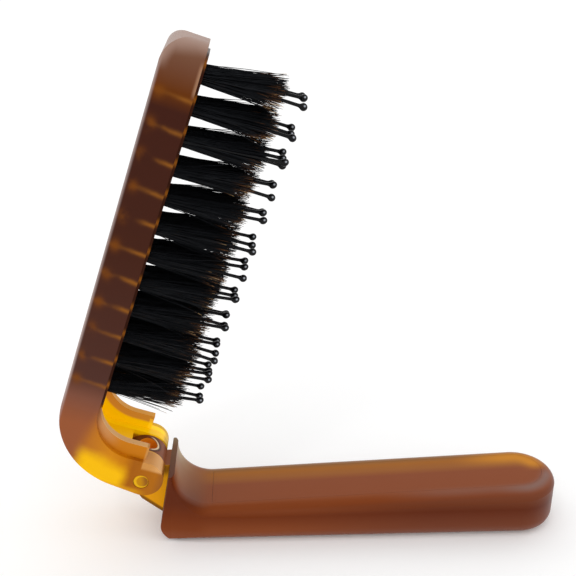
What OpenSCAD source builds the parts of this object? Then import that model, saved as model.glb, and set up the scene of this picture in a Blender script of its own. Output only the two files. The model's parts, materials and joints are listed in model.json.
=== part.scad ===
// Folding hairbrush with a mirror on the back of its head, in millimetres.
// The head swings on one hinge: down over the handle, or out in line with it.

/* [Handle] */
// from the hinge axis to the far end
handle_length = 108.2; // [98:0.2:120]
// across the handle
handle_width = 20.6; // [19.6:0.2:24]
// height of the inner face at the far end
handle_height = 13.9; // [13.4:0.1:15]
// slope of the inner face, in degrees
inner_slope = 2.55; // [1.6:0.05:2.7]
// thickness of the handle's walls
wall = 1.8; // [1.5:0.1:2.2]

/* [Head] */
// from the hinge axis to the tip of the head
head_length = 108.1; // [96:0.1:120]
// across the head
head_width = 23; // [22:0.5:27]
// thickness of the head behind its front edge
head_thickness = 9.05; // [8.8:0.05:10.5]
// angle of the head above the handle as it is shown
head_angle = 71.1; // [40:0.1:120]

/* [Hinge] */
// height of the hinge axis above the underside
hinge_height = 19; // [18.5:0.1:20]
// across the two ears
hinge_width = 18.6; // [17.6:0.2:19]
// thickness of the knuckle between the ears
knuckle_width = 7; // [6:0.2:8]
// diameter of the hinge pin
pin_d = 3; // [2.4:0.1:3.4]

/* [Bristles] */
// distance between two tufts of one row
tuft_pitch = 4; // [3.8:0.1:4.6]
// diameter of a tuft where it leaves the block
tuft_d = 2.9; // [2.4:0.1:3]
// length of the boar tufts above the block
boar_length = 17.8; // [14:0.1:18.4]
// length of the nylon pins above the block, to the middle of the ball
quill_length = 22.5; // [19:0.1:23]

/* [Mirror] */
// from the mirror to the edges of the head
mirror_border = 2.7; // [2.4:0.1:4]

/* [Hidden] */
$fn = 48;
eps = 0.01;
far = 40;
over = 1;
arc_steps = 24;
rows = 12;

// ---- hinge ----
hinge_half = hinge_width / 2;
knuckle_half = knuckle_width / 2;
knuckle_r = 5.7;
slot_gap = 0.3;
slot_half = knuckle_half + slot_gap;
slot_r = knuckle_r + slot_gap;
running_gap = 0.05;
cap_rim = 0.35;
cap_d = pin_d + 2 * cap_rim;
cap_depth = 0.8;
cap_gap = 0.12;
cap_sink = 0.15;
hollow_d = 4.9;
hollow_skin = 1.4;
hollow_floor = pin_d / 2 + hollow_skin;
hollow_turn = 14;

// ---- handle ----
handle_half = handle_width / 2;
far_x = handle_length - handle_half;
edge_low_r = 3.5;
edge_top_r = 3.3;
flange_t = 1.5;
flange_rise = 0.75;
flange_lean = 10.5;
flange_left_x = 6.8;
flange_in = 0.35;
flange_half = hinge_half - flange_in;
sweep_r = 9;
sweep_x = flange_left_x + flange_t + sweep_r;
sweep_rise = 0.2;
sweep_z = hinge_height + sweep_rise;
flange_top_z = sweep_z + flange_rise;
inner_z = sweep_z - sweep_r;
slope = min(inner_slope, atan((handle_height - inner_z) / (far_x - sweep_x)));
foot_r = 4.5;
foot_x = front_x(foot_r) + foot_r / cos(flange_lean);
foot_top_z = foot_r * (1 + sin(flange_lean));
bulge_x = 26;
shoulder_x = 14.3;
shoulder_in = 0.35;
skin = 0.03;
web_rise = 0.9;
web_sink = 0.5;
web_drop = 14;
web_low_z = hinge_height - web_drop;
web_left_x = -0.9;
web_left_drop = 9.3;
web_turn = 50;
rest_x = (foot_x + far_x + handle_half - edge_low_r) / 2;

// ---- cover set into the inner face ----
cover_t = 1.6;
cover_inset = 3.5;
cover_gap = 0.05;
cover_ledge = 1;
cover_start = 0.2;
rib_count = 5;
rib_t = 1.2;
rib_h = 5;

// ---- head, in its own frame: x away from the back, z towards the tip ----
block_face_x = -14.5;
shell_front_x = -15.1;
back_x = shell_front_x - head_thickness;
elbow_in_r = 10.3;
arm_top_z = 5.9;
elbow_x = shell_front_x + elbow_in_r;
elbow_z = arm_top_z + elbow_in_r;
elbow_out_r = elbow_x - back_x;
head_half = head_width / 2;
edge_r = 1.3;
tip_corner_r = 9.5;
tip_back_r = 5;
widening_length = 16;
full_width_z = elbow_z + widening_length;
neck_h = 3;
neck_corner_r = 1;
ear_r = 4.9;
ear_x = 0.4;
ear_z = arm_top_z - ear_r;

// the underside of the arm touches the elbow's circle and the ear's circle
ear_dist = norm([ear_x - elbow_x, ear_z - elbow_z]);
arm_turn = atan2(ear_z - elbow_z, ear_x - elbow_x) - acos((elbow_out_r - ear_r) / ear_dist);

// ---- channel between the two rims ----
rim_t = 1.9;
ledge = 1.2;
rim_out = hinge_half - ledge;
rim_in = rim_out - rim_t;
rim_top_z = 9.7;
rim_r = 9.7;
rim_end_x = -0.5;
rim_sink = 1.5;
rim_root_z = arm_top_z - rim_sink;
channel_r = 5;
slot_start_x = -4.8;
pocket_x = -12;
pocket_z = 4;

// ---- bristle block and what stands in it ----
columns = 3;
block_border = 1.9;
block_half = head_half - block_border;
block_t = 6.5;
block_back_x = block_face_x - block_t;
block_low_z = 15.6;
block_top_in = 2;
block_top_z = head_length - block_top_in;
block_low_r = 6.2;
block_top_r = tip_corner_r - block_border;
block_gap = 0.05;
row_top_in = 5.2;
row_low_in = 5.9;
first_row_z = block_top_z - row_top_in;
last_row_z = block_low_z + row_low_in;
row_pitch = (first_row_z - last_row_z) / (rows - 1);
hole_depth = 5.6;
hole_gap = 0.06;
hole_floor_x = block_face_x - hole_depth;
anchor_d = 0.4;
anchor_gap = 0.02;
anchor_in = 0.1;
plug_gap = 0.03;
plug_x = hole_floor_x + anchor_d + anchor_gap + plug_gap;
tuft_flare = 0.5;
quill_d = 0.8;
ball_d = 1.8;
quill_gap = 0.1;
ball_gap = 0.1;
quill_offset = ball_d / 2 + ball_gap;

// ---- mirror, in the plane of the back ----
glass_t = 1.2;
pad_t = 0.3;
mirror_gap = 0.15;
mirror_sink = 0.1;
mirror_depth = glass_t + pad_t + mirror_sink;
mirror_top = 4.5;
mirror_low_z = 24.5;
mirror_length = head_length - mirror_top - mirror_low_z;
mirror_half = head_half - mirror_border;
mirror_r = 5;
pad_inset = 0.5;

// ======== frames ========

// children are drawn from the hinge axis, at floor level
module handle_frame() {
    translate([-rest_x, 0, 0])
        children();
}

// children are drawn from the middle of the hinge axis
module hinge_frame() {
    handle_frame()
        translate([0, 0, hinge_height])
            children();
}

// children are drawn with z along the head and x along its bristles
module head_frame() {
    hinge_frame()
        rotate([0, 90 - head_angle, 0])
            children();
}

// from the head's frame to the plane of its back, down from the tip
module back_frame() {
    translate([back_x, 0, head_length])
        children();
}

// ======== plain shapes ========

// a side view, x and z, pushed out to both sides of the middle
module across(half) {
    rotate([90, 0, 0])
        linear_extrude(height = 2 * half, center = true)
            children();
}

// a view from behind, y and z, pushed along x from x1 to x2
module along_x(x1, x2) {
    translate([x1, 0, 0])
        rotate([90, 0, 90])
            linear_extrude(height = x2 - x1)
                children();
}

// a cylinder about the y axis, the same length to both sides
module crossbar(r, half) {
    rotate([90, 0, 0])
        cylinder(r = r, h = 2 * half, center = true);
}

// one half of a bar's section, its lower corner rounded
module half_section(half, height, r) {
    translate([0, r])
        square([half, height - r]);
    square([half - r, height]);
    translate([half - r, r])
        circle(r = r);
}

// a bar along x with rounded lower edges
module bar(length, half, height, r) {
    for (side = [0, 1])
        mirror([0, side, 0])
            along_x(0, length)
                half_section(half, height, r);
}

// an upright panel, y and z, with one corner radius below and one above
module panel(half, z1, z2, low_r, top_r) {
    translate([-half, z1 + low_r])
        square([2 * half, z2 - z1 - low_r - top_r]);
    translate([-half + low_r, z1])
        square([2 * (half - low_r), low_r + eps]);
    translate([-half + top_r, z2 - top_r - eps])
        square([2 * (half - top_r), top_r + eps]);
    for (side = [-1, 1]) {
        translate([side * (half - low_r), z1 + low_r])
            circle(r = low_r);
        translate([side * (half - top_r), z2 - top_r])
            circle(r = top_r);
    }
}

// ======== handle ========

// where the leaning front wall stands at height z
function front_x(z) = flange_left_x - (sweep_z - z) * tan(flange_lean);

// the front wall of the handle and the flange that it ends in
module front_side() {
    polygon([
        [front_x(foot_top_z), foot_top_z],
        [sweep_x + over, foot_top_z],
        [sweep_x + over, inner_z],
        [sweep_x, inner_z],
        [sweep_x, sweep_z],
        [front_x(sweep_z), sweep_z]
    ]);
    translate([foot_x, foot_r])
        circle(r = foot_r);
    polygon([
        [front_x(sweep_z - eps), sweep_z - eps],
        [flange_left_x + flange_t, sweep_z - eps],
        [flange_left_x + flange_t, flange_top_z],
        [front_x(flange_top_z), flange_top_z]
    ]);
}

// the body of the handle behind it, with its rising inner face
module body_side() {
    end_x = handle_length + over;
    polygon([
        [foot_x, 0],
        [end_x, 0],
        [end_x, inner_z + (end_x - sweep_x) * tan(slope)],
        [sweep_x, inner_z],
        [foot_x, foot_top_z]
    ]);
}

// the handle from above, drawn in towards the hinge
module handle_plan() {
    end_x = handle_length + over;
    polygon([
        [0, -flange_half],
        [flange_left_x, -flange_half],
        [shoulder_x, -handle_half + shoulder_in],
        [bulge_x, -handle_half - eps],
        [end_x, -handle_half - over],
        [end_x, handle_half + over],
        [bulge_x, handle_half + eps],
        [shoulder_x, handle_half - shoulder_in],
        [flange_left_x, flange_half],
        [0, flange_half]
    ]);
}

// a long bar with rounded lower edges and a round far end
module long_bar(half, height, r) {
    translate([far_x, 0, 0])
        rotate_extrude()
            half_section(half, height, r);
    bar(far_x, half, height, r);
}

module handle_solid() {
    intersection() {
        across(far)
            union() {
                front_side();
                body_side();
            }
        linear_extrude(height = far)
            handle_plan();
        long_bar(handle_half, far, edge_low_r);
        rounded_top();
    }
}

// takes the edge off the inner face, and hollows the sweep that rises from it
module rounded_top() {
    translate([sweep_x, 0, inner_z])
        rotate([0, -slope, 0])
            translate([-sweep_x, 0, 0])
                mirror([0, 0, 1])
                    long_bar(handle_half + skin, far, edge_top_r);
    difference() {
        translate([0, -far / 2, 0])
            cube([sweep_x, far, far]);
        translate([sweep_x, 0, sweep_z])
            rotate([90, 0, 0])
                rotate_extrude()
                    difference() {
                        translate([0, -far])
                            square([sweep_r + edge_top_r, 2 * far]);
                        sweep_section();
                    }
    }
}

// what is left beyond the sweep's radius, with the same edges as the bar's
module sweep_section() {
    for (side = [0, 1])
        mirror([0, side])
            translate([sweep_r, 0])
                rotate(-90)
                    mirror([1, 0])
                        half_section(handle_half, far, edge_top_r);
}

// the knuckle and the web that carries it, from the side
module tongue_side() {
    web_top_z = hinge_height + web_rise;
    translate([0, hinge_height])
        circle(r = knuckle_r);
    polygon([
        [0, web_top_z],
        [front_x(web_top_z) + web_sink, web_top_z],
        [front_x(web_low_z) + web_sink, web_low_z],
        [web_left_x, hinge_height - web_left_drop],
        [-knuckle_r * cos(web_turn), hinge_height - knuckle_r * sin(web_turn)]
    ]);
}

// the cover's outline from above, smaller all round by inset
module cover_plan(inset) {
    half = handle_half - inset;
    start = cover_start + inset - cover_inset;
    end = far_x - sweep_x;
    translate([start, -half])
        square([end - start, 2 * half]);
    translate([end, 0])
        circle(r = half);
}

// the hollow of the tub, under the cover
module tub_hollow() {
    intersection() {
        translate([sweep_x, 0, inner_z])
            rotate([0, -slope, 0])
                translate([0, 0, -far])
                    linear_extrude(height = far)
                        cover_plan(cover_inset + cover_ledge);
        translate([0, -far / 2, wall])
            cube([2 * handle_length, far, far]);
    }
}

module cover_solid(inset, up) {
    translate([sweep_x, 0, inner_z])
        rotate([0, -slope, 0])
            translate([0, 0, -cover_t])
                linear_extrude(height = cover_t + up)
                    cover_plan(inset);
}

// ribs across the floor of the tub
module tub_ribs() {
    step = (far_x - sweep_x) / (rib_count + 1);
    for (i = [1:rib_count])
        translate([sweep_x + i * step, -handle_half + cover_inset, wall / 2])
            cube([rib_t, 2 * (handle_half - cover_inset), rib_h]);
}

// the round hollow in the crown of the knuckle
module crown_hollow() {
    translate([0, 0, hinge_height])
        rotate([0, hollow_turn, 0])
            translate([0, 0, hollow_floor])
                cylinder(d = hollow_d, h = knuckle_r);
}

module handle_shell() {
    color("#7a3a1c")
        handle_frame()
            difference() {
                union() {
                    difference() {
                        handle_solid();
                        tub_hollow();
                    }
                    tub_ribs();
                    across(knuckle_half)
                        tongue_side();
                }
                cover_solid(cover_inset - cover_gap, over);
                crown_hollow();
                translate([0, 0, hinge_height])
                    crossbar(pin_d / 2 + running_gap, hinge_half);
            }
}

module handle_cover() {
    color("#8a4524")
        handle_frame()
            cover_solid(cover_inset, 0);
}

// ======== head ========

// a block behind y = 0 and in front of x = 0, the edge between the two rounded
module edge_block(r, reach) {
    translate([0, -reach])
        square([head_length, reach - r]);
    translate([r, -reach])
        square([head_length - r, reach]);
    translate([r, -r])
        circle(r = r);
}

// the side of the slab: an upright wall, rounded at the back, through y at height z
module side_wall(y, z, lean) {
    back_frame()
        translate([0, y, z - head_length])
            rotate([-lean, 0, 0])
                translate([0, 0, -head_length])
                    linear_extrude(height = 3 * head_length)
                        edge_block(edge_r, far);
}

// the head above the elbow, which widens from the neck to its full width
module slab() {
    widening = atan((head_half - hinge_half) / (full_width_z - elbow_z));
    intersection() {
        along_x(back_x - over, shell_front_x)
            panel(head_half, elbow_z, head_length, neck_corner_r, tip_corner_r);
        back_frame()
            across(far)
                edge_block(tip_back_r, 2 * head_length);
        both_sides()
            side_wall(head_half, full_width_z, 0);
        both_sides()
            side_wall(hinge_half, elbow_z, widening);
    }
}

// what the children and their mirror image share
module both_sides() {
    intersection() {
        children();
        mirror([0, 1, 0])
            children();
    }
}

// points of an arc about [x, z], from one angle to another
function arc(x, z, r, from, to) =
    [for (i = [0:arc_steps]) let (a = from + (to - from) * i / arc_steps) [x + r * cos(a), z + r * sin(a)]];

// the bend from the head, the arm and the round end of its ears, from the side
module arm_side() {
    polygon(concat(
        [[shell_front_x, elbow_z + neck_h], [back_x, elbow_z + neck_h]],
        arc(elbow_x, elbow_z, elbow_out_r, 180, 360 + arm_turn),
        arc(ear_x, ear_z, ear_r, arm_turn, 90),
        arc(elbow_x, elbow_z, elbow_in_r, 270, 180)
    ));
}

module arm() {
    intersection() {
        across(hinge_half)
            arm_side();
        both_sides()
            side_wall(hinge_half, elbow_z, 0);
    }
}

// a rim beside the channel, from the side: its top bends up into the front of the head
module rim_side() {
    polygon(concat(
        [[shell_front_x - over, rim_top_z + rim_r], [shell_front_x - over, rim_root_z]],
        [[rim_end_x, rim_root_z], [rim_end_x, rim_top_z]],
        arc(shell_front_x + rim_r, rim_top_z + rim_r, rim_r, 270, 180)
    ));
}

// the channel between the rims, from the side
module channel_side() {
    translate([shell_front_x + channel_r, arm_top_z])
        square([far, far]);
    translate([shell_front_x, arm_top_z + channel_r])
        square([far, far]);
    translate([shell_front_x + channel_r, arm_top_z + channel_r])
        circle(r = channel_r);
}

// the slot that the knuckle and its web swing through, from the side
module slot_side() {
    circle(r = slot_r);
    translate([slot_start_x, -far / 2])
        square([far, far]);
    translate([pocket_x, -far / 2])
        square([far, far / 2 + pocket_z]);
}

module rims() {
    for (side = [-1, 1])
        translate([0, side * (rim_in + rim_t / 2), 0])
            across(rim_t / 2)
                rim_side();
}

// the recess for the mirror, or the mirror itself with no gap
module mirror_panel(gap, x1, x2) {
    along_x(x1, x2)
        panel(
            mirror_half + gap,
            -mirror_top - mirror_length - gap,
            -mirror_top + gap,
            mirror_r,
            mirror_r
        );
}

// the bores of both ears, each with a shallow recess for the pin's cap
module ear_bores() {
    crossbar(pin_d / 2 + running_gap, hinge_half + over);
    for (side = [-1, 1])
        translate([0, side * hinge_half, 0])
            crossbar(cap_d / 2 + cap_gap, cap_depth);
}

module block_outline(gap) {
    panel(block_half + gap, block_low_z - gap, block_top_z + gap, block_low_r, block_top_r);
}

module head_shell() {
    color("#5a2a18")
        difference() {
            head_frame()
                difference() {
                    union() {
                        slab();
                        difference() {
                            union() {
                                arm();
                                rims();
                            }
                            across(slot_half)
                                slot_side();
                        }
                    }
                    across(rim_in)
                        channel_side();
                    along_x(block_back_x, far)
                        block_outline(block_gap);
                    ear_bores();
                }
            head_frame()
                back_frame()
                    mirror_panel(mirror_gap, -over, mirror_depth);
        }
}

module hinge_pin() {
    color("#c8821a")
        hinge_frame() {
            crossbar(pin_d / 2, hinge_half - cap_sink);
            for (side = [-1, 1])
                translate([0, side * (hinge_half - (cap_depth + cap_sink) / 2), 0])
                    crossbar(cap_d / 2, (cap_depth - cap_sink) / 2);
        }
}

module mirror_glass() {
    color("#c8d0d6")
        head_frame()
            back_frame()
                mirror_panel(0, mirror_depth - pad_t - glass_t, mirror_depth - pad_t);
}

module mirror_pad() {
    color("#303030")
        head_frame()
            back_frame()
                mirror_panel(-pad_inset, mirror_depth - pad_t, mirror_depth);
}

// ======== bristles ========

function row_z(i) = first_row_z - (i - 1) * row_pitch;

function column_y(j) = (j - (columns - 1) / 2) * tuft_pitch;

// the tuft of row i that holds two pins, or -1 where each holds one
function paired_tuft(i) = i == 3 || i == 11 ? 0 : i == 9 ? 2 : i == 10 ? 1 : -1;

// across from the middle of tuft j in row i to each of its pins
function quills(i, j) = paired_tuft(i) == j ? [-quill_offset, quill_offset] : [0];

// a rod along x from x1 to x2
module rod(x1, x2, r1, r2) {
    translate([x1, 0, 0])
        rotate([0, 90, 0])
            cylinder(r1 = r1, r2 = r2, h = x2 - x1);
}

module at_tuft(i, j) {
    translate([0, column_y(j), row_z(i)])
        children();
}

module bristle_block() {
    color("#4a2416")
        head_frame()
            difference() {
                along_x(block_back_x, block_face_x)
                    block_outline(0);
                for (i = [1:rows], j = [0:columns - 1])
                    at_tuft(i, j)
                        rod(hole_floor_x, 0, tuft_d / 2 + hole_gap, tuft_d / 2 + hole_gap);
            }
}

// one tuft of boar bristle: a plug in the block and a spreading brush above it
module boar_tuft(i, j) {
    end_x = block_face_x + boar_length;
    difference() {
        union() {
            rod(plug_x, block_face_x, tuft_d / 2, tuft_d / 2);
            rod(block_face_x, end_x, tuft_d / 2, tuft_d / 2 + tuft_flare);
        }
        for (y = quills(i, j))
            translate([0, y, 0])
                rod(plug_x - over, end_x + over, quill_d / 2 + quill_gap, quill_d / 2 + quill_gap);
    }
}

module boar_row(i) {
    color("#17120f")
        head_frame()
            for (j = [0:columns - 1])
                at_tuft(i, j)
                    boar_tuft(i, j);
}

// the nylon pins of a row, each with a ball at its tip
module pin_row(i) {
    ball_x = block_face_x + quill_length;
    color("#0c0c0d")
        head_frame()
            for (j = [0:columns - 1])
                for (y = quills(i, j))
                    at_tuft(i, j)
                        translate([0, y, 0]) {
                            rod(plug_x, ball_x, quill_d / 2, quill_d / 2);
                            translate([ball_x, 0, 0])
                                sphere(d = ball_d);
                        }
}

// the wires that hold the tufts at the bottom of their holes
module tuft_anchors() {
    color("#b0a070")
        head_frame()
            for (i = [1:rows], j = [0:columns - 1])
                at_tuft(i, j)
                    translate([hole_floor_x + anchor_d / 2 + anchor_gap, 0, 0])
                        crossbar(anchor_d / 2, tuft_d / 2 - anchor_in);
}

// ======== what is shown ========

handle_shell();
handle_cover();
hinge_pin();
head_shell();
bristle_block();
mirror_glass();
mirror_pad();
tuft_anchors();
boar_row(1);  // boar_row_01
boar_row(2);  // boar_row_02
boar_row(3);  // boar_row_03
boar_row(4);  // boar_row_04
boar_row(5);  // boar_row_05
boar_row(6);  // boar_row_06
boar_row(7);  // boar_row_07
boar_row(8);  // boar_row_08
boar_row(9);  // boar_row_09
boar_row(10);  // boar_row_10
boar_row(11);  // boar_row_11
boar_row(12);  // boar_row_12
pin_row(1);  // pin_row_01
pin_row(2);  // pin_row_02
pin_row(3);  // pin_row_03
pin_row(4);  // pin_row_04
pin_row(5);  // pin_row_05
pin_row(6);  // pin_row_06
pin_row(7);  // pin_row_07
pin_row(8);  // pin_row_08
pin_row(9);  // pin_row_09
pin_row(10);  // pin_row_10
pin_row(11);  // pin_row_11
pin_row(12);  // pin_row_12
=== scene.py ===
"""Looks of the folding hairbrush: satin tortoise plastic, boar tufts, nylon pins and a mirror."""

import json
import math

import bpy
import numpy as np
from mathutils import Matrix, Vector


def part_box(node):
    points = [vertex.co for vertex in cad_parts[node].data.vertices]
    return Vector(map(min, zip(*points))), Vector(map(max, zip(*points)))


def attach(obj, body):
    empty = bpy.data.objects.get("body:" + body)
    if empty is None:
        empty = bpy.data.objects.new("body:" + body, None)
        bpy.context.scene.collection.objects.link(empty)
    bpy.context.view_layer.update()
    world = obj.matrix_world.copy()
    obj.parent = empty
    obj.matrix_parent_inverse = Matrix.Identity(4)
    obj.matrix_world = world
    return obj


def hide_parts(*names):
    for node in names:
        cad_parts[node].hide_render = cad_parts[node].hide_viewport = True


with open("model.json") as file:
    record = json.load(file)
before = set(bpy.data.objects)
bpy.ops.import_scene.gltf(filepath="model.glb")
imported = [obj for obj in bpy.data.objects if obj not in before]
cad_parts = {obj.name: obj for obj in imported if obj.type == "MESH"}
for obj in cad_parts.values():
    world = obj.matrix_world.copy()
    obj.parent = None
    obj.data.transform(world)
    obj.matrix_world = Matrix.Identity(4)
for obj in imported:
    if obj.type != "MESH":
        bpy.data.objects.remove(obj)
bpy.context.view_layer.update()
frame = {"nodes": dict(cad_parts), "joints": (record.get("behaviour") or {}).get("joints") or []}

MM = 0.001
SEED = 41

# ---- the hinge, in millimetres like every place below ----
FOLD = frame["joints"][0]
HINGE_X, _, HINGE_Z = (value / MM for value in FOLD["pos_m"])

# At the joint's lower limit the head is in line with the handle.
HEAD_ANGLE = math.radians(180 + FOLD["range_deg"][0])
HEAD_COS = math.cos(HEAD_ANGLE)
HEAD_SIN = math.sin(HEAD_ANGLE)


def head_box(name):
    """The lowest and the highest corner of a CAD node in the head's frame, as along, out and
    across: its places from the hinge axis, turned back by the head's angle."""
    x, y, z = np.array([corner.co for corner in frame["nodes"][name].data.vertices]).T / MM
    x = x - HINGE_X
    z = z - HINGE_Z
    places = np.stack([x * HEAD_COS + z * HEAD_SIN, x * HEAD_SIN - z * HEAD_COS, y])
    return places.min(axis=1), places.max(axis=1)


def row_at(i):
    """How far along the head row i stands: at the middle of its pins. Row 1 is nearest the tip."""
    low, high = head_box(f"pin_row_{i:02d}")
    return (low[ALONG] + high[ALONG]) / 2


# ---- the head, from the hinge axis: along to its tip, out as its bristles point, and across ----
ALONG = 0
OUT = 1
BLOCK_FACE = head_box("bristle_block")[1][OUT]
HEAD_BACK = head_box("head_shell")[0][OUT]
ARM_TOP = 5.9
SLOT_HALF = 3.8
CHANNEL_FOOT = 4.4
RIM_IN = 6.2
RIM_OUT = 8.1
RIM_R = 9.7

# The middles of two arcs, as along and out: that of the rims' edge, and that of the back at the tip.
RIM_CENTRE = (19.4, -5.4)
TIP_CENTRE = (103.1, -19.15)

# ---- the handle: x from the hinge axis, and z from the underside ----
HANDLE_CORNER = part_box("handle_shell")[1] / MM
END_X = HANDLE_CORNER.x - HANDLE_CORNER.y - HINGE_X
KNUCKLE_R = HANDLE_CORNER.z - HINGE_Z
SWEEP_X = 17.3
INNER_Z = 10.2
INNER_SLOPE = math.tan(math.radians(2.55))
FLANGE_X = 6.8
FLANGE_Z = 19.9
FRONT_TOP_Z = 19.2
FRONT_LEAN = math.tan(math.radians(10.5))
KNUCKLE_HALF = 3.5
WEB_SLOPE = 0.84
HOLLOW_R = 2.45
HOLLOW_TURN = math.radians(14)

# ---- the plastic's sheen: what it gives back of a white room, taken off the colours below it ----
SHEEN = (0.017, 0.011, 0.006)
SHEEN_TINT = (1.0, 0.65, 0.38, 1.0)

# ---- shades of the plastic: browns, yellows, and the greyer painted highlights where it reflects the room ----
UMBER = "#44261c"
WALNUT = "#50322a"
RUST = "#602c18"
BRICK = "#703418"
CHESTNUT = "#804020"
SADDLE = "#884828"
CLAY = "#90563c"
SIENNA = "#985c28"
COPPER = "#a86018"
OCHRE = "#c88a30"
AMBER = "#c87a14"
HONEY = "#d4861a"
GOLD = "#e8b404"
SUN = "#fcc010"
# Painted highlights: the room's reflection on rounded edges, the handle's end and the tip.
MAUVE_HIGHLIGHT = "#86665c"
SAND_HIGHLIGHT = "#a88a7c"
STRAW_HIGHLIGHT = "#c0b08c"

# ---- the tufts and pins ----
ROWS = sum(name.startswith("pin_row_") for name in frame["nodes"])
COLUMNS = 3
FIRST_ROW = row_at(1)
LAST_ROW = row_at(ROWS)
ROW_PITCH = (FIRST_ROW - LAST_ROW) / (ROWS - 1)
TUFT_PITCH = 4.0
TUFT_R = 1.45

# How far hairs and pins lean to the tip for each millimetre of their run.
LEAN = 0.085

# Rows that have a tuft with two pins, and the column of that tuft.
PAIRED = {3: 0, 9: 2, 10: 1, 11: 0}

# ---- one hair ----
# A lean is how far it goes sideways for each millimetre of its run, and a bend is how far its end
# goes. FAN_LEAN is for each millimetre that its root stands from the middle of its tuft. A stray
# leans STRAY_LEAN times and bends STRAY_BEND times as much.
BOAR_LENGTH = 17.8
BOAR_EXTRA = 0.4
BOAR_SHORTEST = 9.0
BOAR_LONGEST = BOAR_LENGTH + 1.2
HAIRS_PER_TUFT = 240
HAIR_R = 0.085
HAIR_SIDES = 3
HAIR_LEAN = 0.02
HAIR_BEND = 0.35
HAIR_SHORTER = 1.7
FAN_LEAN = 0.035
LOCKS = 7
LOCK_LEAN = 0.045
LOCK_LENGTH = 0.9
STRAY_SHARE = 0.08
STRAY_LEAN = 4.5
STRAY_BEND = 2.0
ROOT_SPREAD = 0.96
ROOT_RUN = 12.0  # millimetres down the hole for a share of -1

# ---- what a hair's kind is made of: its own draw, its lock's, and how low it is in its tuft ----
KIND_OWN = 0.45
KIND_LOCK = 0.3
KIND_LOW = 0.25

# ---- one pin: its neck widens from one distance to the other, both measured back from its end ----
HOLE_DEPTH = 5.0
QUILL_LENGTH = 22.5
QUILL_R = 0.4
BALL_R = 0.9
BALL_RINGS = 11
NECK_START = 2.3
NECK_END = 1.9
NECK_WIDER = 0.04
QUILL_APART = 1.0
QUILL_BEND = 0.7
QUILL_BEND_MOST = 1.6
QUILL_SIDES = 20
# Which way the painted highlight on each ball faces, as along, out and across.
HIGHLIGHT_AIM = (0.5, 0.15, -0.85)

# ---- the camera, in metres and millimetres of lens ----
CAMERA_PLACE = (-0.026490, -0.206009, 0.162204)
CAMERA_VIEW = (0.0317, 0.9087, -0.4163)
CAMERA_RIGHT = (0.9994, -0.0349, 0.0)
CAMERA_LENS = 59.0
SENSOR_WIDTH = 36.0


def linear(code):
    """The linear colour of an sRGB hex code."""
    parts = [int(code[i:i + 2], 16) / 255 for i in (1, 3, 5)]
    curve = [c / 12.92 if c <= 0.04045 else ((c + 0.055) / 1.055) ** 2.4 for c in parts]
    return (*curve, 1.0)


def head_point(along, out, across):
    """World metres of points in the head's frame: its along and out, turned by the head's angle
    about the hinge axis, and across."""
    along, out, across = np.broadcast_arrays(along, out, across)
    x = HINGE_X + along * HEAD_COS + out * HEAD_SIN
    z = HINGE_Z + along * HEAD_SIN - out * HEAD_COS
    return np.stack([x, across, z], axis=-1) * MM


# ======== shader graphs ========

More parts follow.
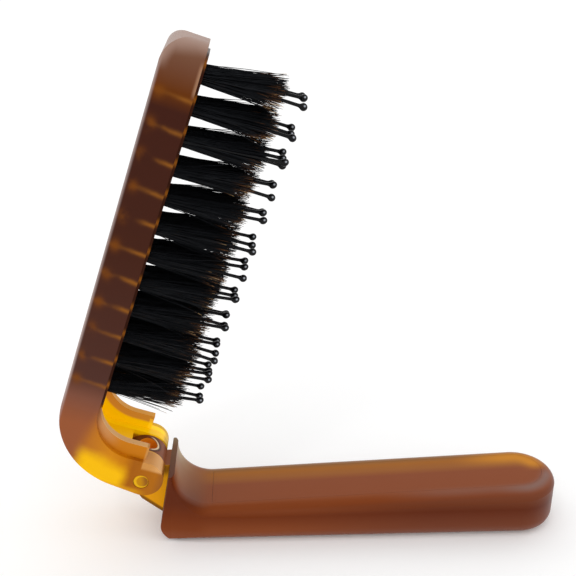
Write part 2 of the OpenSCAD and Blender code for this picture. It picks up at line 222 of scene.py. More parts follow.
class Graph:
    """The nodes of one material, made by plain calls. Values are sockets or numbers."""

    def __init__(self, name):
        self.material = bpy.data.materials.new(name)
        self.material.use_nodes = True
        self.tree = self.material.node_tree
        self.tree.nodes.clear()
        self.shader = self.tree.nodes.new("ShaderNodeBsdfPrincipled")
        output = self.tree.nodes.new("ShaderNodeOutputMaterial")
        self.tree.links.new(self.shader.outputs["BSDF"], output.inputs["Surface"])

    def feed(self, socket, value):
        """Gives a socket its value, by a link or as a fixed number."""
        if isinstance(value, bpy.types.NodeSocket):
            self.tree.links.new(value, socket)
        else:
            socket.default_value = value

    def math(self, operation, a, b=0.0, c=0.0):
        """The result of one math node."""
        node = self.tree.nodes.new("ShaderNodeMath")
        node.operation = operation
        for socket, value in zip(node.inputs, (a, b, c)):
            self.feed(socket, value)
        return node.outputs[0]

    def add(self, a, b):
        return self.math("ADD", a, b)

    def minus(self, a, b):
        return self.math("SUBTRACT", a, b)

    def times(self, a, b):
        return self.math("MULTIPLY", a, b)

    def unsigned(self, value):
        """The value without its sign."""
        return self.math("ABSOLUTE", value)

    def past(self, value, start):
        """How far a value is past its start, and 0 before it."""
        return self.math("MAXIMUM", self.minus(value, start), 0.0)

    def reach(self, a, b):
        """How far a place lies from the middle, from its two offsets."""
        return self.math("SQRT", self.add(self.times(a, a), self.times(b, b)))

    def step(self, value, off, on):
        """A mask: 0 up to off, 1 from on, and smooth between. Either of them may be the greater."""
        node = self.tree.nodes.new("ShaderNodeMapRange")
        node.interpolation_type = "SMOOTHSTEP"
        falls = on < off
        self.feed(node.inputs["Value"], value)
        node.inputs["From Min"].default_value = min(off, on)
        node.inputs["From Max"].default_value = max(off, on)
        node.inputs["To Min"].default_value = 1.0 if falls else 0.0
        node.inputs["To Max"].default_value = 0.0 if falls else 1.0
        return node.outputs["Result"]

    def bell(self, value, middle, width):
        """1 at the middle, falling to 0.37 a width away."""
        off = self.times(self.minus(value, middle), 1.0 / width)
        return self.math("EXPONENT", self.times(self.times(off, off), -1.0))

    def mix(self, share, a, b):
        """The colour that is a where the share is 0, and b where it is 1."""
        node = self.tree.nodes.new("ShaderNodeMix")
        node.data_type = "RGBA"
        self.feed(node.inputs["Factor"], share)
        self.feed(node.inputs["A"], a)
        self.feed(node.inputs["B"], b)
        return node.outputs["Result"]

    def ramp(self, value, stops):
        """The colour at a value, between stops of (value, hex code)."""
        low, high = stops[0][0], stops[-1][0]
        node = self.tree.nodes.new("ShaderNodeValToRGB")
        while len(node.color_ramp.elements) < len(stops):
            node.color_ramp.elements.new(1.0)
        for element, (at, code) in zip(node.color_ramp.elements, stops):
            element.position = (at - low) / (high - low)
            element.color = linear(code)
        self.feed(node.inputs[0], self.times(self.add(value, -low), 1.0 / (high - low)))
        return node.outputs["Color"]

    def less(self, colour, amount):
        """The colour with a fixed amount taken off, and never below black."""
        node = self.tree.nodes.new("ShaderNodeVectorMath")
        node.operation = "SUBTRACT"
        self.feed(node.inputs[0], colour)
        node.inputs[1].default_value = amount
        floor = self.tree.nodes.new("ShaderNodeVectorMath")
        floor.operation = "MAXIMUM"
        self.tree.links.new(node.outputs[0], floor.inputs[0])
        return floor.outputs[0]

    def both(self, *values):
        """The product of masks: 1 only where all of them are."""
        product = values[0]
        for value in values[1:]:
            product = self.times(product, value)
        return product

    def paint(self, colour, code, *masks):
        """The colour, with a hex code's laid over it by the product of the masks."""
        return self.mix(self.both(*masks), colour, linear(code))

    def place(self):
        """x, y and z in millimetres, in the brush's own frame."""
        coordinates = self.tree.nodes.new("ShaderNodeTexCoord")
        split = self.tree.nodes.new("ShaderNodeSeparateXYZ")
        self.tree.links.new(coordinates.outputs["Object"], split.inputs[0])
        return [self.times(split.outputs[axis], 1.0 / MM) for axis in "XYZ"]

    def head_place(self):
        """Along the head, out and across it, in millimetres from the hinge axis."""
        x, y, z = self.place()
        x = self.add(x, -HINGE_X)
        z = self.add(z, -HINGE_Z)
        along = self.add(self.times(x, HEAD_COS), self.times(z, HEAD_SIN))
        out = self.minus(self.times(x, HEAD_SIN), self.times(z, HEAD_COS))
        return along, out, y

    def handle_place(self):
        """x from the hinge axis, y, and z from the underside, in millimetres."""
        x, y, z = self.place()
        return self.add(x, -HINGE_X), y, z

    def noise(self, scale, detail=2.0):
        """A cloud between 0 and 1. The scale is how many of its waves go into a metre."""
        coordinates = self.tree.nodes.new("ShaderNodeTexCoord")
        node = self.tree.nodes.new("ShaderNodeTexNoise")
        self.tree.links.new(coordinates.outputs["Object"], node.inputs["Vector"])
        node.inputs["Scale"].default_value = scale
        node.inputs["Detail"].default_value = detail
        return node.outputs["Fac"]

    def wave(self, scale, height):
        """A noise about 0, of at most half the height to each side."""
        return self.times(self.add(self.noise(scale), -0.5), height)

    def bump(self, height, glow_strength, distance):
        """Lets a height tilt the surface as light meets it."""
        node = self.tree.nodes.new("ShaderNodeBump")
        node.inputs["Strength"].default_value = glow_strength
        node.inputs["Distance"].default_value = distance
        self.feed(node.inputs["Height"], height)
        self.tree.links.new(node.outputs["Normal"], self.shader.inputs["Normal"])

    def set(self, **values):
        """Sets inputs of the shader by name, with _ for a blank."""
        for name, value in values.items():
            self.feed(self.shader.inputs[name.replace("_", " ")], value)


def satin(graph, colour, rough=0.36):
    """The finish that every piece of the plastic shares: a fine grain, and a warm sheen of varying
    roughness. What the sheen gives back of the room is taken off the colour."""
    grain = graph.noise(2600.0)
    cloud = graph.noise(90.0)
    graph.set(
        Base_Color=graph.less(colour, SHEEN),
        Roughness=graph.add(rough - 0.04, graph.times(cloud, 0.08)),
        IOR=1.45,
        Specular_IOR_Level=0.25,
        Specular_Tint=SHEEN_TINT,
    )
    graph.bump(grain, 0.1, 0.02 * MM)


def row_turn(g, along):
    """How far a place is from one row of tufts to the next: 0 at the first, and 1 at the second."""
    return g.math("FRACT", g.times(g.add(along, -LAST_ROW), 1.0 / ROW_PITCH))


def wall_colour(g, along, out):
    """The walls of the head: dark brown, with a painted amber line of light coming through the
    plastic between every two rows of tufts. Each line slants a little, is broken by a cloud, and
    ends in a painted blob of the same light near the back."""
    colour = g.ramp(along, [
        (12.0, "#9c5a38"), (20.0, "#80503e"), (26.0, WALNUT), (60.0, UMBER),
        (94.0, "#40221a"), (98.0, "#663512"), (103.0, "#704834"), (108.0, "#7c5844"),
    ])
    cloud = g.noise(160.0, 3.0)
    colour = g.paint(colour, RUST, cloud, 0.12)
    line = g.add(g.times(out, -0.0105), 0.28)
    off = g.add(g.minus(row_turn(g, along), line), g.wave(300.0, 0.12))
    rows = g.both(
        g.step(along, LAST_ROW, LAST_ROW + 2.0),
        g.step(along, FIRST_ROW - 1.0, FIRST_ROW - 3.0),
    )
    glow_strength = g.add(
        g.times(g.step(out, -20.5, -16.0), 0.66),
        g.times(g.step(cloud, 0.36, 0.56), 0.34),
    )
    # Painted light: the amber line where light comes through between two rows.
    colour = g.paint(colour, "#8a5420", g.bell(off, 0.0, 0.075), glow_strength, rows)
    # A painted blob of the same light near the back.
    glow_near_back = g.bell(out, -22.3, 1.1)
    broken = g.step(cloud, 0.34, 0.54)
    return g.paint(colour, "#784216", g.bell(off, 0.0, 0.2), glow_near_back, broken, rows, 0.9)


def below_rim(g, along, out):
    """How far a place lies below the rims' edge, which is level at the ears and then an arc up to
    the head's front."""
    level, turn = RIM_CENTRE
    return g.add(g.reach(g.minus(level, along), g.past(turn, out)), -RIM_R)


def above_arm(g, along):
    """1 on what stands above the arm's top: the rims and the head."""
    return g.step(along, ARM_TOP, ARM_TOP + 0.1)


def in_channel(g, along, across):
    """1 above the foot of the channel, from near its middle to its far side."""
    return g.both(g.step(along, CHANNEL_FOOT, CHANNEL_FOOT + 0.8), g.step(across, -4.2, -3.6))


def arm_side_colour(g, along, out):
    """The sides of the arm: tan, with a yellow lobe and a lighter foot, both painted where light
    comes through.
    """
    colour = g.ramp(out, [
        (-19.0, "#9c5a34"), (-15.0, "#bc7226"), (-9.0, HONEY), (-5.5, AMBER),
        (-3.0, COPPER), (3.0, "#b46c1a"), (5.5, SIENNA),
    ])
    wave = g.wave(260.0, 2.0)
    wavy_out = g.add(out, wave)
    wavy_along = g.add(g.add(along, wave), g.times(g.add(out, 6.0), 0.25))
    colour = g.paint(
        colour,
        SUN,
        g.step(wavy_along, 5.0, 0.4),
        g.step(wavy_out, -2.8, -6.2),
        g.step(wavy_out, -18.8, -14.6),
    )
    # Painted light coming through the thin plastic at the arm's foot.
    lit_foot = g.both(g.step(out, -13.0, -8.0), g.step(out, 3.0, -2.0), g.step(along, -1.8, -3.2))
    return g.paint(colour, "#e8a41c", lit_foot, 0.7)


def rim_colour(g, colour, along, out, across):
    """The near rim, peach where it leaves the head and orange towards the ear, a painted highlight
    on the top edges of both rims, and the gold of the channel between them: the plastic's amber,
    brightened as painted light coming through."""
    side = g.unsigned(across)
    low = below_rim(g, along, out)
    above = above_arm(g, along)
    outer_face = g.both(
        g.step(across, -RIM_OUT + 0.1, -RIM_OUT),
        g.step(side, RIM_OUT + 0.3, RIM_OUT + 0.1),
        above,
    )
    by_head = g.both(g.step(out, -7.0, -12.5), g.step(low, 3.6, 0.6))
    colour = g.mix(outer_face, colour, g.mix(by_head, linear("#cc7c1c"), linear("#d0925a")))
    # A painted highlight along the top edges of both rims.
    colour = g.paint(
        colour,
        "#e8b070",
        g.step(low, 0.08, 0.02),
        g.step(side, RIM_IN - 0.02, RIM_IN),
        above,
        g.step(along, 18.0, 17.0),
    )
    # The channel's gold: the plastic's amber, brightened as painted light coming through.
    return g.paint(
        colour,
        GOLD,
        g.step(side, RIM_OUT - 0.05, RIM_OUT - 0.12),
        g.step(low, 0.02, 0.08),
        in_channel(g, along, across),
    )


def ear_colour(g, colour, along, out, across):
    """The tops of the ears: tan on the near one, painted lighter as a lit top, and yellow on the far
    one, painted light coming through it, and their slot.
    """
    by_axis = g.step(out, -1.2, -0.8)
    near_ear = g.both(g.step(across, -3.3, -3.9), by_axis, g.step(along, 3.4, 4.4))
    # The near ear's top is painted lighter, as lit from above.
    tan = g.mix(g.step(out, 0.5, 4.0), linear("#d0924e"), linear("#e2a868"))
    colour = g.mix(near_ear, colour, tan)
    # Painted light coming through the far ear.
    colour = g.paint(colour, "#e6b42c", g.step(across, 3.5, 3.9), by_axis, g.step(along, 1.0, 3.0))
    between = g.step(g.unsigned(across), SLOT_HALF + 0.1, SLOT_HALF + 0.04)
    return g.paint(colour, "#d89410", between, g.step(out, 0.0, -1.0), g.step(along, 2.0, 3.0))


def far_rim_colour(g, colour, along, out, across):
    """The inner face of the far rim: tan, and yellow at its end, painted light coming through there.
    """
    inner_face = g.both(
        g.step(across, RIM_IN - 0.1, RIM_IN),
        g.step(across, RIM_OUT - 0.1, RIM_OUT - 0.3),
    )
    low = below_rim(g, along, out)
    colour = g.paint(colour, OCHRE, inner_face, g.step(low, 2.4, 1.5), above_arm(g, along))
    # Painted light coming through the end of the far rim.
    return g.paint(colour, "#fac92c", inner_face, g.step(out, -1.7, -1.3), g.step(along, 9.0, 8.6))


def arm_colour(g, along, out, across):
    """The arm that carries the head, with its rims, its channel and its ears."""
    colour = arm_side_colour(g, along, out)
    colour = rim_colour(g, colour, along, out, across)
    colour = ear_colour(g, colour, along, out, across)
    return far_rim_colour(g, colour, along, out, across)


def head_glow(g, along, out, across):
    """Where daylight comes through the thin plastic about the channel."""
    between = g.step(g.unsigned(across), RIM_OUT - 0.1, RIM_OUT - 0.3)
    by_neck = g.both(g.step(along, 24.0, 18.0), g.step(out, -18.0, -15.0))
    return g.both(between, by_neck, in_channel(g, along, across))


def tip_highlight_mask(g, along, out):
    """1 on the painted highlight over the rounding at the tip of the head: above a slanted line, and
    on the back's arc.
    """
    front = g.step(g.add(along, g.times(g.add(out, 20.0), -0.2)), 104.6, 108.2)
    radius = g.reach(g.past(along, TIP_CENTRE[0]), g.past(TIP_CENTRE[1], out))
    rounding = g.both(g.step(radius, 2.4, 4.9), g.step(along, 101.0, 104.5))
    return g.math("MAXIMUM", front, g.times(rounding, 0.85))


def head_colour(g, along, out, across):
    """Brown walls, a tan and yellow arm, and painted highlights: along the edge of the back, on the
    lip above the block, and over the tip."""
    front = g.step(g.add(out, g.times(along, -0.35)), -22.4, -17.4)
    on_arm = g.both(g.step(along, 20.0, 15.5), front)
    colour = g.mix(on_arm, wall_colour(g, along, out), arm_colour(g, along, out, across))
    # A painted highlight along the rounded edge of the back, stronger towards the arm.
    back_edge_highlight = g.both(
        g.step(out, HEAD_BACK + 0.85, HEAD_BACK + 0.1),
        g.step(g.unsigned(across), 8.0, 9.6),
    )
    edge_highlight_share = g.add(0.6, g.times(g.step(along, 60.0, 25.0), 0.25))
    colour = g.paint(colour, "#b8a29c", back_edge_highlight, edge_highlight_share)
    on_back = g.step(out, HEAD_BACK + 0.12, HEAD_BACK + 0.02)
    back = g.mix(g.step(along, 60.0, 20.0), linear("#5a3426"), linear("#8a4e30"))
    colour = g.mix(on_back, colour, back)
    # A painted highlight on the lip above the block, by the tip.
    lip_highlight = g.both(g.step(along, 97.0, 99.5), g.step(along, 105.5, 103.5), g.step(out, -16.0, -15.3))
    colour = g.paint(colour, "#b48a6c", lip_highlight, 0.6)
    # A painted highlight over the tip.
    return g.paint(colour, SAND_HIGHLIGHT, tip_highlight_mask(g, along, out), 0.9)


def head_material():
    """The head's plastic. It glows yellow in the channel and tan on the far rim."""
    g = Graph("amber_head")
    along, out, across = g.head_place()
    satin(g, head_colour(g, along, out, across))
    low = below_rim(g, along, out)
    glow = g.mix(g.step(low, 2.4, 1.5), linear("#f0c400"), linear("#b87c30"))
    g.set(Emission_Color=glow, Emission_Strength=g.times(head_glow(g, along, out, across), 0.38))
    return g.material


def block_material():
    """The block that holds the tufts: dark, with a painted amber line of light coming through
    between every two rows.
    """
    g = Graph("block")
    along = g.head_place()[0]
    turn = row_turn(g, along)
    # Painted light: amber between the rows, where light comes through.
    colour = g.mix(g.bell(turn, 0.5, 0.12), linear("#3c1c0e"), linear("#9a5a18"))
    satin(g, colour, 0.3)
    return g.material


def bar_face_colour(g, x, y):
    """The inner face of the handle: brown, with painted light coming through as amber towards its
    far edge and round its end, a painted highlight on the far edge, and a grey painted highlight in
    a band by its near edge and round its end."""
    colour = g.ramp(y, [
        (-9.7, "#7a3a1a"), (-7.5, SADDLE), (0.5, SADDLE), (3.0, SIENNA),
        (5.5, "#a0601c"), (7.5, "#8c6034"), (10.3, SAND_HIGHLIGHT),
    ])
    reach = g.reach(g.past(x, END_X), y)
    # Painted light coming through: an amber band round the far side of the end.
    colour = g.paint(
        colour,
        "#cc8420",
        g.bell(reach, 5.6, 2.4),
        g.step(x, 80.0, 98.0),
        g.step(y, -1.5, 3.0),
    )
    # A grey painted highlight by the near edge, round the end.
    shine = g.add(g.times(g.step(x, 58.0, 82.0), 0.4), g.times(g.step(x, 90.0, 101.0), 0.6))
    return g.paint(colour, MAUVE_HIGHLIGHT, g.bell(reach, 7.9, 1.3), shine, g.step(y, 1.0, -3.0))


def bar_side_colour(g, x, z):
    """The sides of the handle: dark red-brown, darkest just below the top edge under a painted
    highlight on that edge, and lighter at the foot as a painted reflection, less so towards the end.
    """
    # Painted light: a highlight on the top edge, and a reflection lightening the foot.
    left = g.ramp(z, [
        (0.0, CLAY), (4.0, SADDLE), (8.0, BRICK), (9.6, "#7f4226"), (11.0, CHESTNUT),
    ])
    right = g.ramp(z, [
        (0.0, "#8a5a48"), (4.0, "#74402c"), (8.5, RUST), (10.5, "#6c3822"), (13.0, "#7a4530"),
    ])
    return g.mix(g.step(x, 25.0, 80.0), left, right)


def bar_colour(g, x, y, z):
    """The long part of the handle: its sides, and its face from just below the face's own slope."""
    above = g.add(g.add(z, -INNER_Z), g.times(g.add(x, -SWEEP_X), -INNER_SLOPE))
    on_face = g.step(above, -1.7, -0.5)
    return g.mix(on_face, bar_side_colour(g, x, z), bar_face_colour(g, x, y))


def sweep_colour(g, x, y, z):
    """The sweep up to the flange: lighter where it is thin and towards the flange's far side, as
    painted light coming through and a grey painted highlight at the far edge, and darker on its near
    side and top.
    """
    low = g.ramp(y, [(-9.0, RUST), (-7.8, "#6e4030"), (5.0, "#8e5a36"), (9.0, CLAY)])
    # Painted light: lighter to the far side and up by the flange, ending in a grey highlight.
    high = g.ramp(y, [
        (-9.0, BRICK), (-7.5, CHESTNUT), (-3.0, SIENNA), (3.0, "#a0764e"), (8.9, STRAW_HIGHLIGHT),
    ])
    face = g.mix(g.step(z, 10.5, 17.5), low, high)
    side = g.ramp(z, [(0.0, CLAY), (4.0, CHESTNUT), (8.0, BRICK), (12.0, RUST), (19.0, RUST)])
    face = g.mix(g.step(y, -8.45, -8.8), face, side)
    top = g.ramp(y, [(-8.9, "#60392a"), (5.0, "#735036"), (8.9, "#87755a")])
    return g.mix(g.step(z, FLANGE_Z - 0.06, FLANGE_Z), face, top)


def behind_front(g, x, z):
    """How far a place lies behind the handle's leaning front wall. It is below 0 on the web."""
    wall = g.times(g.add(z, -FRONT_TOP_Z), FRONT_LEAN)
    return g.minus(g.add(x, -FLANGE_X), wall)


def on_web(g, x, z):
    """1 ahead of the front wall, where the web and the knuckle are."""
    return g.step(behind_front(g, x, z), -0.02, -0.1)


def above_slant(g, x, z, off, on):
    """A step across the web along a line that slants with the web's own edge."""
    return g.step(g.add(z, g.times(x, WEB_SLOPE)), off, on)


def web_glow(g):
    """Where light comes through the sides of the web."""
    x, y, z = g.handle_place()
    side = g.step(g.unsigned(y), KNUCKLE_HALF - 0.2, KNUCKLE_HALF - 0.02)
    below_knuckle = g.step(z, HINGE_Z - 0.5, HINGE_Z - 3.0)
    return g.both(side, above_slant(g, x, z, 9.9, 10.6), on_web(g, x, z), below_knuckle)


def crown_colour(g, x, y, above):
    """The knuckle's crown: brown, with a painted highlight on the rim of its hollow and a painted
    shade line just outside it, both right of the hollow.
    """
    colour = g.ramp(x, [(-5.0, "#84502c"), (0.0, "#6e3a22"), (5.0, "#864a2c")])
    from_axis = g.minus(
        g.times(x, math.cos(HOLLOW_TURN)),
        g.times(above, math.sin(HOLLOW_TURN)),
    )
    about = g.reach(from_axis, y)
    right = g.step(from_axis, 0.2, 1.6)
    # A painted shade line outside the hollow's rim.
    colour = g.paint(colour, "#4c2416", g.bell(about, HOLLOW_R + 0.75, 0.3), right)
    # A painted highlight on the hollow's rim.
    return g.paint(colour, "#f4d8ac", g.bell(about, HOLLOW_R + 0.25, 0.22), right)


def web_colour(g, x, y, z):
    """The knuckle and its web: lit from behind at the sides, brown over the crown, and orange in the
    hollow, painted bright as light coming through."""
    above = g.add(z, -HINGE_Z)
    sides = g.mix(above_slant(g, x, z, 10.4, 9.6), linear("#c88410"), linear("#946018"))
    on_crown = g.both(
        g.step(g.unsigned(y), KNUCKLE_HALF - 0.05, KNUCKLE_HALF - 0.2),
        g.step(above, 0.0, 1.0),
    )
    colour = g.mix(on_crown, sides, crown_colour(g, x, y, above))
    # Painted light: the hollow's orange is brightened as light coming through.
    in_hollow = g.step(g.reach(x, above), KNUCKLE_R - 0.1, KNUCKLE_R - 0.4)
    return g.paint(colour, "#f09a28", on_crown, in_hollow)


def handle_colour(g):
    """The sweep blends into the bar, the front wall is dark, and ahead of it stands the web."""
    x, y, z = g.handle_place()
    on_sweep = g.step(x, SWEEP_X + 1.0, SWEEP_X - 5.0)
    colour = g.mix(on_sweep, bar_colour(g, x, y, z), sweep_colour(g, x, y, z))
    colour = g.paint(colour, "#7a3818", g.noise(120.0, 3.0), 0.12)
    front_wall = g.both(
        g.step(behind_front(g, x, z), 0.3, 0.1),
        g.step(z, 4.0, 9.0),
        g.step(z, FLANGE_Z, FLANGE_Z - 0.1),
    )
    colour = g.paint(colour, "#6a3c2c", front_wall)
    between_ears = g.step(g.unsigned(y), KNUCKLE_HALF + 0.05, KNUCKLE_HALF + 0.02)
    return g.mix(g.both(on_web(g, x, z), between_ears), colour, web_colour(g, x, y, z))


def handle_material():
    """The handle's plastic. The sides of its web glow."""
    g = Graph("amber_handle")
    satin(g, handle_colour(g))
    g.set(Emission_Color=linear("#f0a808"), Emission_Strength=g.times(web_glow(g), 0.35))
    return g.material


def cover_material():
    """The same plastic, without the glow."""
    g = Graph("amber_cover")
    satin(g, handle_colour(g))
    return g.material


def pin_material():
    """The cap of the pin: a disc that darkens to its right as painted shade in its recess, with a
    painted highlight crescent on the lit wall to its left.
    """
    g = Graph("amber_pin")
    x, y, z = g.handle_place()
    right = g.add(x, -0.35)
    above = g.add(z, -HINGE_Z)
    # Painted shade: the disc darkens to its right, in the recess.
    disc = g.mix(g.step(right, -0.6, 1.0), linear("#c88a18"), linear("#9c6220"))
    # Painted highlight: the lit crescent to the left.
    colour = g.paint(disc, "#ecb41c", g.step(g.reach(right, above), 1.3, 1.6))
    satin(g, colour, 0.25)
    return g.material


def boar_material():
    """Black hair with brown and blond tips. The share of blond is drawn for each hair."""
    g = Graph("boar")
    attribute = g.tree.nodes.new("ShaderNodeAttribute")
    attribute.attribute_name = "tip"
    split = g.tree.nodes.new("ShaderNodeSeparateColor")
    g.tree.links.new(attribute.outputs["Color"], split.inputs[0])
    run = split.outputs[0]
    kind = split.outputs[1]
    brown = g.times(g.step(run, 0.78, 0.97), g.step(kind, 0.6, 0.72))
    blond = g.times(g.step(run, 0.86, 1.0), g.step(kind, 0.76, 0.82))
    colour = g.mix(brown, linear("#050506"), linear("#6a4424"))
    colour = g.mix(blond, colour, linear("#d0ac78"))
    g.set(Base_Color=colour, Roughness=g.add(0.26, g.times(kind, 0.1)), IOR=1.45)
    g.set(Specular_IOR_Level=0.25, Specular_Tint=(0.8, 0.87, 1.0, 1.0))
    return g.material


def nylon_material():
    """Glossy black, with a painted highlight on the upper near side of each ball."""
    g = Graph("nylon")
    attribute = g.tree.nodes.new("ShaderNodeAttribute")
    attribute.attribute_name = "facing"
    cloud = g.noise(400.0)
    # A painted highlight where a ball faces the aim.
    highlight_spot = g.step(attribute.outputs["Fac"], 0.92, 1.0)
    g.set(Base_Color=g.mix(highlight_spot, linear("#040406"), linear("#b0b4bc")))
    g.set(Roughness=g.add(0.12, g.times(cloud, 0.06)), IOR=1.45, Specular_IOR_Level=0.2)
    return g.material


def mirror_material():
    """Silvered glass, clear but for a slight unevenness."""
    g = Graph("mirror")
    cloud = g.noise(30.0)
    g.set(Base_Color=linear("#d8dee1"), Metallic=1.0, Roughness=g.add(0.015, g.times(cloud, 0.01)))
    return g.material


def pad_material():
    """The dark foam pad behind the mirror."""
    g = Graph("pad")
    grain = g.noise(1500.0)
    g.set(Base_Color=linear("#202020"), Roughness=g.add(0.8, g.times(grain, 0.1)))
    return g.material


def wire_material():
    """The brass wire that anchors the tufts."""
    g = Graph("wire")
    grain = g.noise(900.0)
    g.set(Base_Color=linear("#b09a60"), Metallic=1.0, Roughness=g.add(0.3, g.times(grain, 0.1)))
    return g.material


# ======== built surfaces ========

def new_mesh(name, vertices, faces, material, smooth=True):
    """A mesh object of its own, from places in metres and rows of corner numbers."""
    mesh = bpy.data.meshes.new(name)
    mesh.from_pydata(vertices.reshape(-1, 3).tolist(), [], faces.tolist())
    mesh.polygons.foreach_set("use_smooth", np.full(len(faces), smooth))
    mesh.materials.append(material)
    mesh.update()
    thing = bpy.data.objects.new(name, mesh)
    bpy.context.scene.collection.objects.link(thing)
    return thing


def tube_faces(rings, sides):
    """The quads of a tube whose corners are numbered ring by ring. Each joins two neighbouring
    corners of one ring to the same two of the next, and the last corner of a ring is followed by
    its first."""
    ring = np.arange(rings - 1)[:, None] * sides
    side = np.arange(sides)[None, :]
    following = (side + 1) % sides
    quads = [ring + side, ring + following, ring + sides + following, ring + sides + side]
    return np.stack(quads, axis=-1).reshape(-1, 4)


def many_tubes(centres, radii, sides):
    """Tubes along straight or bent lines. Every ring is a circle of its radius about its centre,
    square to the way the bristles point. centres is (tubes, rings, 3), as along, out and across in
    the head's frame, and radii is (tubes, rings). The first and last radii are 0, so every tube is
    closed."""
    tubes, rings = radii.shape
    turn = 2 * np.pi * np.arange(sides) / sides
    along = centres[..., 0, None] + radii[..., None] * np.sin(turn)
    across = centres[..., 2, None] + radii[..., None] * np.cos(turn)
    out = np.broadcast_to(centres[..., 1, None], along.shape)
    vertices = head_point(along, out, across)
    starts = np.arange(tubes) * rings * sides
    faces = tube_faces(rings, sides)[None] + starts[:, None, None]
    return vertices, faces.reshape(-1, 4)


def column_at(j):
    """How far across column j is, for one column or an array of them, from the head's middle."""
    return (j - (COLUMNS - 1) / 2) * TUFT_PITCH


def quill_places(i, j):
    """Where across the head the pins of a tuft are: one in its middle, or a pair about it."""
    middle = column_at(j)
    if PAIRED.get(i) == j:
        return [middle - QUILL_APART, middle + QUILL_APART]
    return [middle]


def build_hairs(i, material):
    """The hairs of one row of tufts. A hair leaves the block at a random place in its tuft, runs
    outwards along a lean that it shares with a lock of others, and bends by its own random amount,
    as the square of its run. Some are strays, which lean and bend more. Each corner keeps its run
    along the hair and the hair's kind, which is a random mix of its own, its lock's and its height
    in the tuft."""
    rng = np.random.default_rng(SEED + i)
    count = HAIRS_PER_TUFT * COLUMNS
    tuft = np.repeat(np.arange(COLUMNS), HAIRS_PER_TUFT)
    radius = TUFT_R * np.sqrt(rng.random(count)) * ROOT_SPREAD
    turn = 2 * np.pi * rng.random(count)
    root = np.stack([radius * np.sin(turn), radius * np.cos(turn)], axis=-1)
    lock = rng.integers(0, LOCKS, count) + LOCKS * tuft
    lock_lean = rng.normal(0, LOCK_LEAN, (LOCKS * COLUMNS, 2))
    lock_length = rng.normal(0, LOCK_LENGTH, LOCKS * COLUMNS)
    stray = (rng.random(count) < STRAY_SHARE)[:, None]
    own_lean = rng.normal(0, HAIR_LEAN, (count, 2)) * np.where(stray, STRAY_LEAN, 1.0)
    lean = root * FAN_LEAN + lock_lean[lock] + own_lean + np.array([LEAN, 0.0])
    bend = rng.normal(0, HAIR_BEND, (count, 2)) * np.where(stray, STRAY_BEND, 1.0)
    shorter = HAIR_SHORTER * np.abs(rng.normal(0, 1, count))
    length = BOAR_LENGTH + lock_length[lock] - shorter + BOAR_EXTRA
    length = np.clip(length, BOAR_SHORTEST, BOAR_LONGEST)

    # Each ring's share of the hair's run, below 0 down in the hole, and its share of the radius.
    shares, widths = np.array([
        (-0.12, 0.0), (-0.119, 1.0), (0.0, 1.0), (0.25, 1.0),
        (0.5, 0.95), (0.75, 0.85), (0.99, 0.6), (1.0, 0.0),
    ]).T
    share = np.clip(shares, 0, 1)
    run = share * length[:, None]
    out = BLOCK_FACE + np.clip(shares, None, 0) * ROOT_RUN + run
    spread = lean[:, None, :] * run[..., None] + bend[:, None, :] * (share ** 2)[:, None]
    middle = np.stack([np.full(count, row_at(i)), column_at(tuft)], axis=-1)
    place = (middle + root)[:, None, :] + spread
    centres = np.stack([place[..., 0], out, place[..., 1]], axis=-1)
    radii = np.broadcast_to(widths * HAIR_R, run.shape)
    vertices, faces = many_tubes(centres, radii, HAIR_SIDES)
    hairs = new_mesh(f"hairs_{i:02d}", vertices, faces, material)

    lower = 0.5 - 0.5 * root[:, 0] / TUFT_R
    own_kind = rng.random(count)
    lock_kind = rng.random(LOCKS * COLUMNS)[lock]
    kind = KIND_OWN * own_kind + KIND_LOCK * lock_kind + KIND_LOW * lower
    corners = (count, len(shares), HAIR_SIDES)
    kind = np.broadcast_to(kind[:, None, None], corners)
    where = np.broadcast_to(share[:, None], corners)
    tip = np.stack([where, kind, np.zeros(corners), np.ones(corners)], axis=-1)
    attribute = hairs.data.color_attributes.new("tip", "FLOAT_COLOR", "POINT")
    attribute.data.foreach_set("color", tip.astype(np.float32).ravel())
    return hairs


def quill_profile():
    """A pin from its foot to its end, as rows of distance and radius, and the turn of each ring of
    its ball. The radius is constant, widens in a short cone, and then follows the ball, which is a
    circle about its own middle."""
    end = QUILL_LENGTH + BALL_R
    in_hole = [-HOLE_DEPTH, -HOLE_DEPTH + 0.01]
    distance = np.array([*in_hole, 0.0, 5.0, 10.0, 14.0, 17.0, end - NECK_START])
    stem = np.stack([distance, np.full(len(distance), QUILL_R)], axis=-1)
    stem[0, 1] = 0.0
    neck = np.array([[end - NECK_END, QUILL_R + NECK_WIDER]])
    turn = np.linspace(0.77 * np.pi, 0.0, BALL_RINGS)
    ball = np.stack([end - BALL_R + BALL_R * np.cos(turn), BALL_R * np.sin(turn)], axis=-1)
    return np.concatenate([stem, neck, ball]), turn


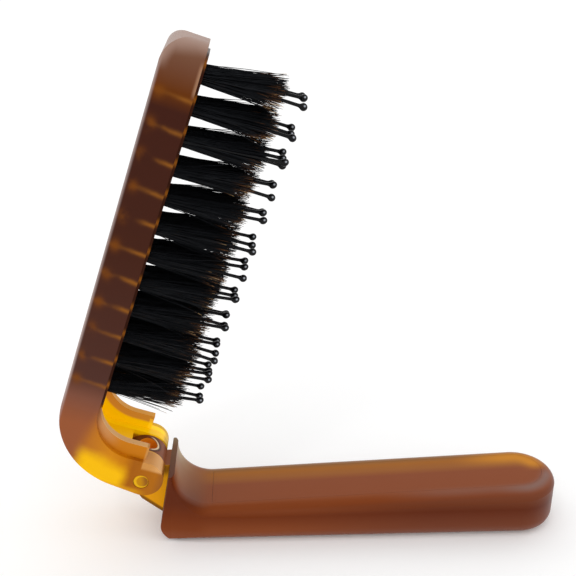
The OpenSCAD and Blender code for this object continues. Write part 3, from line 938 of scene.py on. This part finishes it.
def build_quills(i, material):
    """The nylon pins of one row. A pin leans with the hairs, and bends a little, as the square of
    its run. Each corner keeps how far it faces the painted highlight: the product of the ball's
    outward direction there and the highlight's aim."""
    rng = np.random.default_rng(SEED * 2 + i)
    places = [y for j in range(COLUMNS) for y in quill_places(i, j)]
    count = len(places)
    profile, ball_turn = quill_profile()
    distance, radius = profile.T
    share = np.clip(distance / (QUILL_LENGTH + BALL_R), 0.0, 1.0)
    bend = rng.normal(0, QUILL_BEND, (count, 2))
    bend = np.clip(bend, -QUILL_BEND_MOST, QUILL_BEND_MOST)
    centres = np.zeros((count, len(profile), 3))
    lean = LEAN * np.clip(distance, 0.0, None)
    centres[..., 0] = row_at(i) + bend[:, None, 0] * share ** 2 + lean
    centres[..., 1] = BLOCK_FACE + distance
    centres[..., 2] = np.array(places)[:, None] + bend[:, None, 1] * share ** 2
    radii = np.broadcast_to(radius, centres.shape[:2])
    vertices, faces = many_tubes(centres, radii, QUILL_SIDES)
    quills = new_mesh(f"quills_{i:02d}", vertices, faces, material)

    turn = 2 * np.pi * np.arange(QUILL_SIDES)[None, :] / QUILL_SIDES
    stem = np.full(len(profile) - BALL_RINGS, np.pi)
    tilt = np.concatenate([stem, ball_turn])[:, None]
    outward = [np.sin(tilt) * np.sin(turn), np.cos(tilt) + 0 * turn, np.sin(tilt) * np.cos(turn)]
    facing = sum(part * aim for part, aim in zip(outward, HIGHLIGHT_AIM))
    facing = np.broadcast_to(facing, (count, *facing.shape))
    attribute = quills.data.attributes.new("facing", "FLOAT", "POINT")
    attribute.data.foreach_set("value", facing.astype(np.float32).ravel())
    return quills


# ======== stage ========

def build_floor():
    """A white floor just under the brush, which the camera sees a little lighter than it is."""
    g = Graph("floor")
    cloud = g.noise(6.0)
    path = g.tree.nodes.new("ShaderNodeLightPath")
    g.set(
        Base_Color=g.mix(cloud, (0.97, 0.97, 0.97, 1.0), (0.98, 0.98, 0.98, 1.0)),
        Roughness=0.9,
        Specular_IOR_Level=0.0,
        Emission_Color=(1.0, 1.0, 1.0, 1.0),
        Emission_Strength=g.times(path.outputs["Is Camera Ray"], 0.07),
    )
    half = 4.0
    corners = half * np.array([[-1, -1, 0], [1, -1, 0], [1, 1, 0], [-1, 1, 0]])
    floor = new_mesh("floor", corners, np.array([[0, 1, 2, 3]]), g.material, smooth=False)
    floor.location.z = -0.2 * MM


def build_world():
    """An even white room."""
    world = bpy.data.worlds.new("studio")
    bpy.context.scene.world = world
    world.use_nodes = True
    background = world.node_tree.nodes["Background"]
    background.inputs["Color"].default_value = (1.0, 1.0, 1.0, 1.0)
    background.inputs["Strength"].default_value = 1.0


def area_light(name, place, aim, size, power):
    """A square lamp at a place in metres, turned to shine on its aim."""
    light = bpy.data.lights.new(name, "AREA")
    light.size = size
    light.energy = power
    lamp = bpy.data.objects.new(name, light)
    bpy.context.scene.collection.objects.link(lamp)
    lamp.location = place
    lamp.rotation_euler = (Vector(aim) - Vector(place)).to_track_quat("-Z", "Y").to_euler()


def build_camera():
    """The camera stands in front of the brush, level across, and looks down at it."""
    view = Vector(CAMERA_VIEW).normalized()
    right = Vector(CAMERA_RIGHT).normalized()
    columns = Matrix((right, right.cross(view), -view)).transposed().to_4x4()
    camera = bpy.data.objects.new("camera", bpy.data.cameras.new("camera"))
    bpy.context.scene.collection.objects.link(camera)
    camera.data.sensor_width = SENSOR_WIDTH
    camera.data.lens = CAMERA_LENS
    camera.matrix_world = Matrix.Translation(CAMERA_PLACE) @ columns
    bpy.context.scene.camera = camera


def dress():
    """Gives the CAD nodes that are shown their materials."""
    made = {
        "handle_shell": ("amber_handle", handle_material),
        "handle_cover": ("amber_cover", cover_material),
        "hinge_pin": ("amber_pin", pin_material),
        "head_shell": ("amber_head", head_material),
        "bristle_block": ("block", block_material),
        "mirror_glass": ("mirror", mirror_material),
        "mirror_pad": ("pad", pad_material),
        "tuft_anchors": ("wire", wire_material),
    }
    for name, (slot, make) in made.items():
        node = frame["nodes"][name]
        node.data.materials.clear()
        node.data.materials.append(make())


def build_bristles():
    """Puts hairs and bent pins in the place of each row's plain solids."""
    boar = boar_material()
    nylon = nylon_material()
    for i in range(1, ROWS + 1):
        hairs = build_hairs(i, boar)
        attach(hairs, "head")
        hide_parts(f"boar_row_{i:02d}")
        quills = build_quills(i, nylon)
        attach(quills, "head")
        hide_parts(f"pin_row_{i:02d}")


dress()
build_bristles()
build_floor()
build_world()
area_light("key", place=(-0.25, -0.35, 0.65), aim=(0.0, 0.0, 0.05), size=0.06, power=0.2)
build_camera()
scene = bpy.context.scene
scene.view_settings.view_transform = "Standard"
